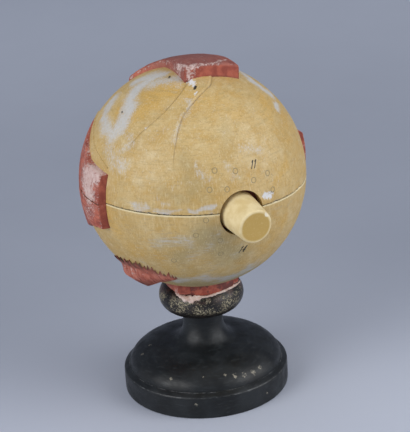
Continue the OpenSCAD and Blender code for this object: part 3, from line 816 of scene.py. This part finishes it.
add_rectus("superior_rectus", SUPERIOR, "upper_shell")
add_rectus("inferior_rectus", INFERIOR, "stand")
add_rectus("lateral_rectus_upper", LATERAL, "upper_shell", 1)
add_rectus("lateral_rectus_lower", LATERAL, "stand", -1)
add_rectus("medial_rectus_upper", MEDIAL, "upper_shell", -1)
add_rectus("medial_rectus_lower", MEDIAL, "stand", 1)

# A thin lip of plaster runs along the lateral rectus's upper edge.
LIP = over_ball([(-108, 34), (-87, 29.2), (-76, 24.4), (-66.5, 21), (-58, 17.6)])
add_piece("lateral_rectus_upper.lip", *beads([(LIP, 0.7, 0.55, 0.3)]), "upper_shell", "sclera_paint")

# ---- inferior oblique: it ends in a brushed fringe ----
OBLIQUE_T = 4.3
OBLIQUE_SHIFT = place(68, -33, 1)
OBLIQUE_TOP = [
    (-112, -60), (-95, -53), (-82, -47), (-68, -42), (-58.6, -40.8), (-51.4, -39.8), (-43.7, -41),
    (-38.4, -40.7), (-33.8, -41.8), (-28.9, -43.6), (-24, -44.6), (-21.8, -45),
]
OBLIQUE_BOTTOM = [
    (-100, -71.5), (-80, -69), (-60, -63.5), (-46, -58), (-36, -53.2), (-29, -49.2), (-24.5, -46.6),
    (-21.9, -44.9),
]
FRINGE = [  # angle and elevation of each streak's tip
    (-80, -40.5), (-72, -37.5), (-65, -34), (-60.5, -33.4), (-56.1, -32.7), (-53.5, -33.6),
    (-51.2, -31.7), (-48.6, -34), (-46.1, -31.7), (-43.8, -32.5), (-41.2, -34.5), (-38.5, -32.9),
    (-36, -34), (-34.5, -36.4), (-31.3, -36.7), (-29.9, -39.4), (-27.6, -39.6), (-25.7, -36.7),
    (-24.2, -39.5), (-22.7, -41.6),
]
FRINGE_HALF = (1.15, 0.8, 1.05, 0.7, 0.95)  # half the width of each streak at its root, in turn
FRINGE_SHADE = (0.4, 0.65, 0.3, 0.8, 0.2, 0.5)  # how dark each streak's tip is, in turn
FRINGE_DROP = 6  # from a streak's tip down to its root, in degrees
FRINGE_LEAN, FRINGE_UPRIGHT = 0.16, -16  # how fast the streaks lean over, and where none do
OBLIQUE_COLUMNS, OBLIQUE_ROWS = 420, 22


def add_oblique():
    upper, lower = (over_ball(line, spacing=0.05) for line in (OBLIQUE_TOP, OBLIQUE_BOTTOM))
    outer = (SCLERA_R + OBLIQUE_T) ** 2 - OBLIQUE_SHIFT.length_squared
    streaks = []  # root, height over it, direction, half width and shade
    for i, (angle, elevation) in enumerate(FRINGE):
        below = place(angle - max(0.3, FRINGE_LEAN * (FRINGE_UPRIGHT - angle)), elevation - FRINGE_DROP)
        foot = min(upper, key=lambda p: (p - below).length)
        rise = place(angle, elevation) - foot
        streaks.append((foot, rise.length, rise.normalized(), FRINGE_HALF[i % len(FRINGE_HALF)],
                        FRINGE_SHADE[i % len(FRINGE_SHADE)]))
    top, bottom, marks = [], [], []
    for u in np.linspace(0, 1, OBLIQUE_COLUMNS):
        root, b = upper[round(u * (len(upper) - 1))], lower[round(u ** 1.5 * (len(lower) - 1))]
        streak, reach, toward, shade = 0, 0, (root - b).normalized(), 0
        for foot, length, direction, half, dark in streaks:
            here = max(0, 1 - (root - foot).length / half)
            if length * here ** 0.85 > reach:
                streak, reach, toward, shade = here, length * here ** 0.85, direction, dark
        a = (root + toward * (reach - 0.3)).normalized() * SCLERA_R
        for v in np.linspace(0, 1, OBLIQUE_ROWS) ** 1.3:
            p = a.lerp(b, float(v)).normalized()
            along = p.dot(OBLIQUE_SHIFT)
            full = along + sqrt(along ** 2 + outer) - SCLERA_R
            above, from_b = (p * SCLERA_R - root).dot(toward), (p * SCLERA_R - b).length
            height = full * min(0.16 + 0.84 * ease(above, 0.5, -6), ease(from_b, -0.6, 5.5))
            height *= 0.15 + 0.85 * min(ease(u, 0, 0.1), ease(1 - u, 0.1, 0.5))
            grooves = ripple(p * SCLERA_R, 1.2, 6, (1, 1, 5))
            top.append(p * (SCLERA_R + max(0.15, height + 0.1 * grooves)))
            bottom.append(p * (SCLERA_R - EMBED))
            tip_shade = shade * ease(above, -2, 0.7 * reach) * ease(streak, 0, 0.5)
            pale = 0.6 * ease(above, -7, -0.5) * ease(streak, 0.4, 0) * ease(above, 1.5, 0)
            pale += 0.45 * ease(ripple((45 * u, 0.8 * v, 0), 1, 21), 0.1, 0.5) * ease(above, 1, -3)
            grain = 0.35 + 0.4 * grooves + 0.5 * ripple((60 * u, v, 5), 1, 22)
            # Painted shadow darkens the muscle along its lower edge; the dark streak tips are brown
            # paint.
            marks.append((max(tip_shade, 0.4 * ease(from_b, 1, 0.2)), pale, grain))
    points, faces = slab(top, bottom, OBLIQUE_ROWS)
    values = dict(zip(("soot_and_shade", "worn", "grain"), (np.tile(column, 2) for column in zip(*marks))))
    add_piece("inferior_oblique.fringed", points, faces, "stand", "muscle_paint", values=values,
              replaces=("inferior_oblique",))


add_oblique()

# ---- optic nerve ----
NERVE_HANG = 15
NERVE_SINK = 0.9
NERVE_DROOP = 4
NERVE_ROOT_R, NERVE_END_R = 10.6, 9
NERVE_FROM, NERVE_TO = -6, 17  # along the stub, from the middle of the sclera's wall
NERVE_ROUND = 0.95
WALL_MID = 57
DISC_R = 4.5
STUB = spin(NERVE_HANG, "Z") @ Matrix.Translation((0, NERVE_SINK, WALL_MID)) @ spin(-NERVE_DROOP, "X")
NERVE_CHIP = STUB @ Vector((-7.6, -4.2, NERVE_TO))
NERVE_SEGMENTS = 96


def add_nerve():
    rows = []  # frame, radius, height and wear
    for r in (0.01, 2, 3.4, 4.1, 4.4, DISC_R):
        cup = 0.9 * ease(r, 3.4, 0)
        rows.append((STAND, r, sqrt((RETINA_IN + 0.05 + cup) ** 2 - r * r), 0.2))
    rows.append((STAND, DISC_R, SCLERA_IN - 0.4, 0))
    profile = [(r, sqrt((SCLERA_IN + 0.15) ** 2 - r * r) - WALL_MID) for r in (5.2, 8, 10.2)]
    slope = (NERVE_END_R - NERVE_ROOT_R) / (NERVE_TO - NERVE_FROM)
    profile += [(NERVE_ROOT_R + slope * (z - NERVE_FROM), z)
                for z in (-3.6, -3, -2, 0, 2, 4, 6, 8, 10, 12, 14, 15.4)]
    profile += [(NERVE_END_R - 0.9 + NERVE_ROUND * cos(a), NERVE_TO + NERVE_ROUND * (sin(a) - 1))
                for a in np.radians([0, 22, 45, 68, 90])]
    profile += [(r, NERVE_TO - 0.12 * ease(r, 7, 0)) for r in (7.3, 6, 4.5, 3, 1.5, 0.01)]
    rows += [(STUB, r, z, 0.34 if z > NERVE_TO - 0.7 and r > 7.5 else 0) for r, z in profile]
    points, worn, cut = [], [], []
    for matrix, r, z, rim in rows:
        for a in round_turn(NERVE_SEGMENTS):
            p, chip = matrix @ polar(r, a, z), 0
            if matrix is STUB:
                chip = ease((p - NERVE_CHIP).length, 2.2, 0.6)
                uneven = 0.09 * ripple(p, 7, 4) + 0.03 * ripple(p, 2, 5) - 0.7 * chip
                p += polar(1, a) * ease(r, 1, 6) * uneven
            points.append(p)
            worn.append(max(rim * (0.7 + 0.6 * ripple(p, 2.5, 8)), 0.9 * chip))
            # The cut end is marked here for the darker ochre of painted shade.
            cut.append(matrix is STUB and z > NERVE_TO - 0.2 and r < 8)
    add_piece("optic_nerve.stub", points, tube_faces(len(rows), NERVE_SEGMENTS), "inner_lower",
              "nerve_paint", values={"worn": worn, "cut": cut}, transform=ALONG_NERVE, sharp=50,
              replaces=("optic_nerve",))


add_nerve()

# ---- printed rings and numerals, as on a numbered teaching model ----
RING_R = 1.25
RINGS = [
    (2.2, 21.3), (13.1, 19.8), (-1, 12.3), (7.7, 11.7), (-3.3, -2.7), (-8.3, -10.6), (3.8, -14.6),
    (-20.7, -27), (4.6, -23.1), (31.4, 15.2), (33.3, 6.6), (22.4, 13.8),
]
DIGITS = {"1": [(0.1, 0.75), (0.35, 1), (0.3, 0)], "4": [(0.55, 0), (0.6, 1), (0, 0.32), (0.8, 0.32)]}
LABELS = [("11", (23.5, 21.2)), ("14", (16.5, -22.5))]
DIGIT_H, DIGIT_W, DIGIT_SLANT = 4.2, 1.8, 0.42
PRINT_H = 0.12
RING_LINE, DIGIT_LINE = 0.21, 0.36  # half the width of the printed lines


def flat_at(centre, x, y):
    """A point on the painted ball x to the right of a place and y above it, seen from outside."""
    out = place(*centre).normalized()
    right = Vector((0, 0, 1)).cross(out).normalized()
    p = (place(*centre) + right * x + out.cross(right) * y).normalized() * SCLERA_R
    return p * (1 + lumps(p) / SCLERA_R)


def ring_line(centre):
    turn = np.linspace(0, 2 * pi, 25)
    circle = [flat_at(centre, RING_R * cos(a), 1.1 * RING_R * sin(a)) for a in turn]
    return circle, RING_LINE, PRINT_H, 0


def numeral_lines(text, centre):
    lines = []
    for i, digit in enumerate(text):
        start = (i - len(text) / 2) * DIGIT_W
        corners = [flat_at(centre, start + DIGIT_W * x + DIGIT_SLANT * DIGIT_H * y, DIGIT_H * (y - 0.5))
                   for x, y in DIGITS[digit]]
        lines += [([a.lerp(b, t) for t in (0, 0.5, 1)], DIGIT_LINE, PRINT_H, 0.3)
                  for a, b in zip(corners, corners[1:])]
    return lines


for side, half, body in ((1, "upper", "upper_shell"), (-1, "lower", "stand")):
    circles = [ring_line(c) for c in RINGS if c[1] * side > 0]
    strokes = [line for text, c in LABELS if c[1] * side > 0 for line in numeral_lines(text, c)]
    add_piece(f"{half}_sclera.rings", *beads(circles), body, "sclera_paint", "ring_ink")
    add_piece(f"{half}_sclera.numerals", *beads(strokes), body, "sclera_paint", "ink")

# ---- foot ----
FOOT_R, FOOT_H, STEP_W, STEP_H = 45.5, 12.4, 3.4, 1.8
DOME_H, DOME_TOP_R, NECK_R, NECK_TOP = 12.8, 14.9, 10.9, 43.7
FLARE_W, FLARE_H = 8.5, 12  # of the curve from the neck out to the dome
POCKET_R, POCKET_D, BORE_R = 12, 11, 4.05
FOOT_SEGMENTS = 200


def add_foot():
    foot_top, dome_r = FOOT_H + STEP_H, FOOT_R - STEP_W
    dome_w = dome_r - DOME_TOP_R
    profile = [(BORE_R, POCKET_D, 0), (BORE_R, NECK_TOP, 0)]  # radius, height and wear
    profile += [(NECK_R, z, 0) for z in (NECK_TOP, 42.5, 41.5, 40.5)]
    profile += [(NECK_R + FLARE_W * (1 - cos(a)), foot_top + DOME_H + FLARE_H * (1 - sin(a)), 0)
                for a in np.radians(range(0, 79, 6))]
    profile += [(DOME_TOP_R + dome_w * cos(a), foot_top + DOME_H * sin(a), 0)
                for a in np.radians(range(82, 2, -4))]
    profile += [  # the step, its two edges pale with wear and painted highlight, and the underside
        (dome_r + 0.06, foot_top + 0.5, 0), (dome_r + 0.1, foot_top + 0.06, 0),
        (dome_r + 0.45, foot_top - 0.1, 0.75), (dome_r + 0.9, foot_top - 0.34, 0),
        (FOOT_R - 1.1, FOOT_H + 0.62, 0), (FOOT_R - 0.5, FOOT_H + 0.26, 0.2),
        (FOOT_R - 0.2, FOOT_H - 0.06, 0.75), (FOOT_R - 0.02, FOOT_H - 0.6, 0.2),
        (FOOT_R, FOOT_H - 1.2, 0), (FOOT_R, 6, 0), (FOOT_R, 1.2, 0.1), (FOOT_R - 0.15, 0.4, 0.45),
        (FOOT_R - 0.6, 0, 0.3), (FOOT_R - 2, 0, 0), (POCKET_R + 0.4, 0, 0.2), (POCKET_R, 0.4, 0),
        (POCKET_R, POCKET_D, 0)]
    points, worn = [], []
    for r, z, edge in profile:
        for a in round_turn(FOOT_SEGMENTS):
            points.append(polar(r, a, z))
            worn.append(edge * (0.75 + 0.5 * ripple(points[-1], 6, 9)))
    faces = grid_faces(len(profile), FOOT_SEGMENTS, closed=True, looped=True)
    add_piece("foot.turned", points, faces, "stand", "black_wood", values={"worn": worn},
              transform=STAND, sharp=35, replaces=("foot",))


add_foot()

# ---- plaster squeezed out over the collar ----
COLLAR_RIM_R, COLLAR_RIM_Z, COLLAR_ROUND = 14.9, 54.1, 8.4  # the rim's centre line and curve
SPILL = [  # angle round the stem, angle up the rim and half width
    (38, 54, 0.5), (44, 50, 0.9), (50, 46, 1.1), (55, 43, 1.8), (60, 39, 1.9), (64, 41, 2.4), (69, 39, 2),
    (73, 43, 1.9), (79, 46, 1.2), (85, 47, 0.7), (92, 48, 0.5), (100, 50, 0.75), (108, 52, 0.5),
    (116, 53, 0.7), (129, 53, 0.6), (145, 50.5, 0.7), (158, 44, 0.45), (170, 38, 0.3),
]
SPILL_COLUMNS, SPILL_ROWS = 190, 9


def on_rim(turn, up, lift):
    """A point on the collar's rounded rim, raised by lift."""
    reach = COLLAR_ROUND + lift
    return polar(COLLAR_RIM_R + reach * cos(up), turn, COLLAR_RIM_Z + reach * sin(up))


def add_spill():
    turns, ups, halves = zip(*SPILL)
    top, bottom = [], []
    for turn in np.linspace(turns[0], turns[-1], SPILL_COLUMNS):
        up, half_width = np.radians(np.interp(turn, turns, ups)), float(np.interp(turn, turns, halves))
        for v in np.linspace(-1, 1, SPILL_ROWS):
            spread = v * half_width * (1 + 0.55 * ripple((turn / 3.5, v, 0), 1, 3)) / COLLAR_ROUND
            lump = 1 + 0.6 * ripple((turn / 4, 2 * v, 1), 1, 4)
            lift = (0.12 + 0.55 * half_width ** 0.5 * max(0, 1 - v * v) ** 0.6) * lump
            top.append(on_rim(radians(turn), up + spread, lift))
            bottom.append(on_rim(radians(turn), up + spread, -0.2))
    add_piece("seat_filler.spill", *slab(top, bottom, SPILL_ROWS), "stand", "bare_plaster",
              transform=STAND)


add_spill()

# ---- inside: vessels, ciliary folds and the iris ----
ARCADES = [  # vessels over the retina: half width, then its places
    (0.55, 13, 3, 8, 16, -4, 28, -24, 34, -48, 30), (0.5, 17, 3, 24, 16, 40, 30, 62, 34),
    (0.35, 5, 21, 4, 38, -6, 54), (0.32, 30, 22, 34, 40, 30, 56), (0.3, -18, 33, -34, 46, -50, 52),
    (0.55, 13, -5, 7, -18, -5, -29, -25, -34, -48, -29), (0.5, 17, -5, 25, -18, 42, -31, 62, -33),
    (0.35, 4, -22, 3, -38, -8, -54), (0.32, 32, -24, 36, -42, 30, -57),
    (0.3, -19, -33, -36, -45, -52, -50), (0.18, 10, -3, 5, -6, 0, -6),
]
WHORLS = [
    (-60, 40), (70, 42), (-130, 38), (135, 40), (-58, -42), (72, -40), (-128, -40), (138, -42),
]
WHORL_ARMS = 7


def whorl_arm(centre, arm):
    """One curved vein that runs out from a whorl on the choroid."""
    turn = 2 * pi * arm / WHORL_ARMS
    path = [place(centre[0] + 24 * s * cos(turn + 0.9 * s),
                  centre[1] + 17 * s * sin(turn + 0.9 * s), CHOROID_R)
            for s in (0.06, 0.3, 0.55, 0.8, 1)]
    return [p * CHOROID_R / p.length for p in resample(path, 26)]


LENS_RING_R, IRIS_BACK, IRIS_FRONT, IRIS_R, PUPIL_R = 23.3, 43.7, 45.7, 27.9, 9
FOLDS = 36  # in each half of the ciliary ring
FOLD_STEPS = 10
CILIARY = [  # radius, distance ahead, depth of the folds there
    (LENS_RING_R, IRIS_BACK, 0), (LENS_RING_R, 40.5, 0.5), (LENS_RING_R, 37.6, 1.0),
    (LENS_RING_R + 0.3, 36.3, 1.3), (25, 35.4, 1.6), (27, 34.3, 1.6), (30, 32.7, 1.3), (34, 30.5, 0.8),
    (38, 28.3, 0.4), (43.1, 25.5, 0), (41, 28.8, 0), (37, 33.8, 0), (33, 37.7, 0), (28.3, 41.3, 0),
    (IRIS_R, 41.5, 0), (IRIS_R, IRIS_BACK, 0)]


def add_ciliary(side, half, body):
    points, grain = [], []
    steps = FOLDS * FOLD_STEPS
    for i in range(steps + 1):
        fold = (0.5 - 0.5 * cos(2 * pi * i / FOLD_STEPS)) * (0.85 + 0.15 * sin(0.7 * i))
        for r, ahead, depth in CILIARY:
            if r < LENS_RING_R + 0.1:
                r += 0.6 * depth * fold
            else:
                ahead += depth * fold
            points.append(polar(r, pi * i / steps * side, ahead))
            grain.append(0.9 - 0.8 * fold if depth else 0.3)
    add_piece(f"ciliary_{half}.folds", points, tube_faces(steps + 1, len(CILIARY)), body,
              "ciliary_paint", values={"grain": grain}, transform=AHEAD,
              replaces=(f"ciliary_{half}",))


for side, half, body in ((1, "upper", "inner_upper"), (-1, "lower", "inner_lower")):
    lines = [(over_ball(pairs(spots), RETINA_IN - 0.02), width, -0.14, 0.6)
             for width, *spots in ARCADES if spots[-1] * side > 0]
    add_piece(f"retina_{half}.vessels", *beads(lines), body, "retina_paint", "vessel_paint")
    arms = [whorl_arm(c, arm) for c in WHORLS if c[1] * side > 0 for arm in range(WHORL_ARMS)]
    arms = [(arm, 0.75, 0.14, 0.7) for arm in arms if min(p.z * side for p in arm) > 1]
    add_piece(f"choroid_{half}.veins", *beads(arms), body, "choroid_paint", "vessel_paint")

add_ciliary(1, "upper", "inner_upper")
add_ciliary(-1, "lower", "inner_lower")

IRIS_SEGMENTS = 360
IRIS_RUFF = 13.5  # radius of the collarette


def iris_point(r, a):
    """A point on the iris's front, and its grain, wear and shade."""
    wander = a + 0.02 * sin(r * 0.7 + 5 * a)
    fibre, fine = noise.noise(polar(26, wander, r * 0.05)), noise.noise(polar(60, wander, r * 0.12))
    ruff = exp(-((r - IRIS_RUFF - 0.6 * fibre) / 0.8) ** 2)
    bow = float(np.interp(r, [PUPIL_R, PUPIL_R + 1, IRIS_R], [0.35, 1, 0.1]))
    height = bow - 0.45 + 0.25 * fibre + 0.12 * fine + 0.3 * ruff
    height -= 0.5 * ease(r, PUPIL_R + 0.5, PUPIL_R)
    shade = max(ease(r, IRIS_R - 3, IRIS_R - 0.4), 0.9 * ease(r, PUPIL_R + 0.9, PUPIL_R + 0.2))
    worn = ease(r, IRIS_RUFF + 1.5, IRIS_RUFF - 1) * (0.75 + 0.5 * fibre)
    return polar(r, a, IRIS_FRONT + min(height, bow)), (0.5 + 0.8 * fibre + 0.5 * fine, worn, shade)


def add_iris():
    radii = [PUPIL_R + 0.02, PUPIL_R + 0.12, PUPIL_R + 0.4, *np.linspace(PUPIL_R + 0.9, IRIS_R - 0.5, 30),
             IRIS_R - 0.1]
    turn = round_turn(IRIS_SEGMENTS)
    made = [iris_point(r, a) for r in radii for a in turn]
    made += [(polar(r, a, IRIS_BACK + 0.02), (0.2, 0, 0.8)) for r in (radii[-1], radii[0]) for a in turn]
    points, marks = zip(*made)
    faces = grid_faces(len(radii) + 2, IRIS_SEGMENTS, closed=True, looped=True)
    add_piece("iris.fibres", points, faces, "iris_piece", "iris_paint",
              values=dict(zip(("grain", "worn", "cut"), zip(*marks))), transform=AHEAD,
              replaces=("iris",))


add_iris()

# ---- camera, light and stage ----
CAMERA_AT = (106.9, 774.8, 415.5)
CAMERA_AHEAD = (-0.13219, -0.91732, -0.37556)
CAMERA_ROLL = -3.653
PHOTO_H = 432
FOCAL_PX = 1567
SENSOR = 36


def add_camera():
    data = bpy.data.cameras.new("camera")
    data.sensor_width = SENSOR
    data.lens = FOCAL_PX * SENSOR / PHOTO_H
    data.clip_start = 0.01
    ahead = Vector(CAMERA_AHEAD).normalized()
    right = ahead.cross(Vector((0, 0, 1))).normalized()
    turn = Matrix.Rotation(radians(CAMERA_ROLL), 3, -ahead)
    axes = Matrix((turn @ right, turn @ right.cross(ahead), -ahead)).transposed()
    camera = add_object("camera", data)
    camera.matrix_world = Matrix.Translation(Vector(CAMERA_AT) * MM) @ axes.to_4x4()
    bpy.context.scene.camera = camera


def add_light(name, at, size, watts, target=(0, 0, 110)):
    data = bpy.data.lights.new(name, "AREA")
    data.size = size * MM
    data.energy = watts
    light = add_object(name, data)
    light.location = Vector(at) * MM
    light.rotation_euler = (Vector(target) - Vector(at)).to_track_quat("-Z", "Y").to_euler()


FLOOR_HALF = 4000
LIGHT_POOL_NEAR = (-180, 80)  # painted pools of light: paler in front of the model and far behind it
LIGHT_POOL_FAR = (-250, -900)
ROOM_STRENGTH = 0.75


def add_floor():
    p = Paint("grey_paper")
    p.bump(p.noise(0.6), 0.03)
    back = p.along("Y")
    # Painted light: the paper is painted paler in front of the model and far behind it.
    light_pool = p.math("MAXIMUM", p.step(back, *LIGHT_POOL_NEAR), p.step(back, *LIGHT_POOL_FAR))
    colour = p.coats("#9196a3", (p.noise(300, 2), "#999eab"), (light_pool, "#b2b7c4"))
    p.finish(colour, p.noise(40, 2), 0.75, 0.85)
    mesh = bpy.data.meshes.new("floor")
    corners = [(-1, -1), (1, -1), (1, 1), (-1, 1)]
    mesh.from_pydata([(x * FLOOR_HALF * MM, y * FLOOR_HALF * MM, 0) for x, y in corners], [],
                     [(0, 1, 2, 3)])
    mesh.materials.append(p.material)
    add_object("floor", mesh)


def add_room():
    """Light from all round, with a darker grey where the room itself is seen."""
    world = bpy.data.worlds.new("grey_room")
    world.use_nodes = True
    room = Nodes(world.node_tree)
    rays = room.node("LightPath").outputs
    seen = rays["Is Camera Ray"]
    for kind in ("Is Glossy Ray", "Is Transmission Ray"):
        seen = room.math("MAXIMUM", seen, rays[kind])
    background = room.tree.nodes["Background"].inputs
    room.feed(background["Color"], room.mix(seen, "#b9bfcb", "#787f91"))
    room.feed(background["Strength"], ROOM_STRENGTH)
    bpy.context.scene.world = world


add_camera()
add_light("overhead", (-150, 150, 1400), 1400, 2.2)
add_light("left_box", (1050, 600, 620), 900, 11.5)
add_light("right_box", (-1050, 550, 650), 1100, 12.2)
add_floor()
add_room()
bpy.context.scene.view_settings.view_transform = "Standard"
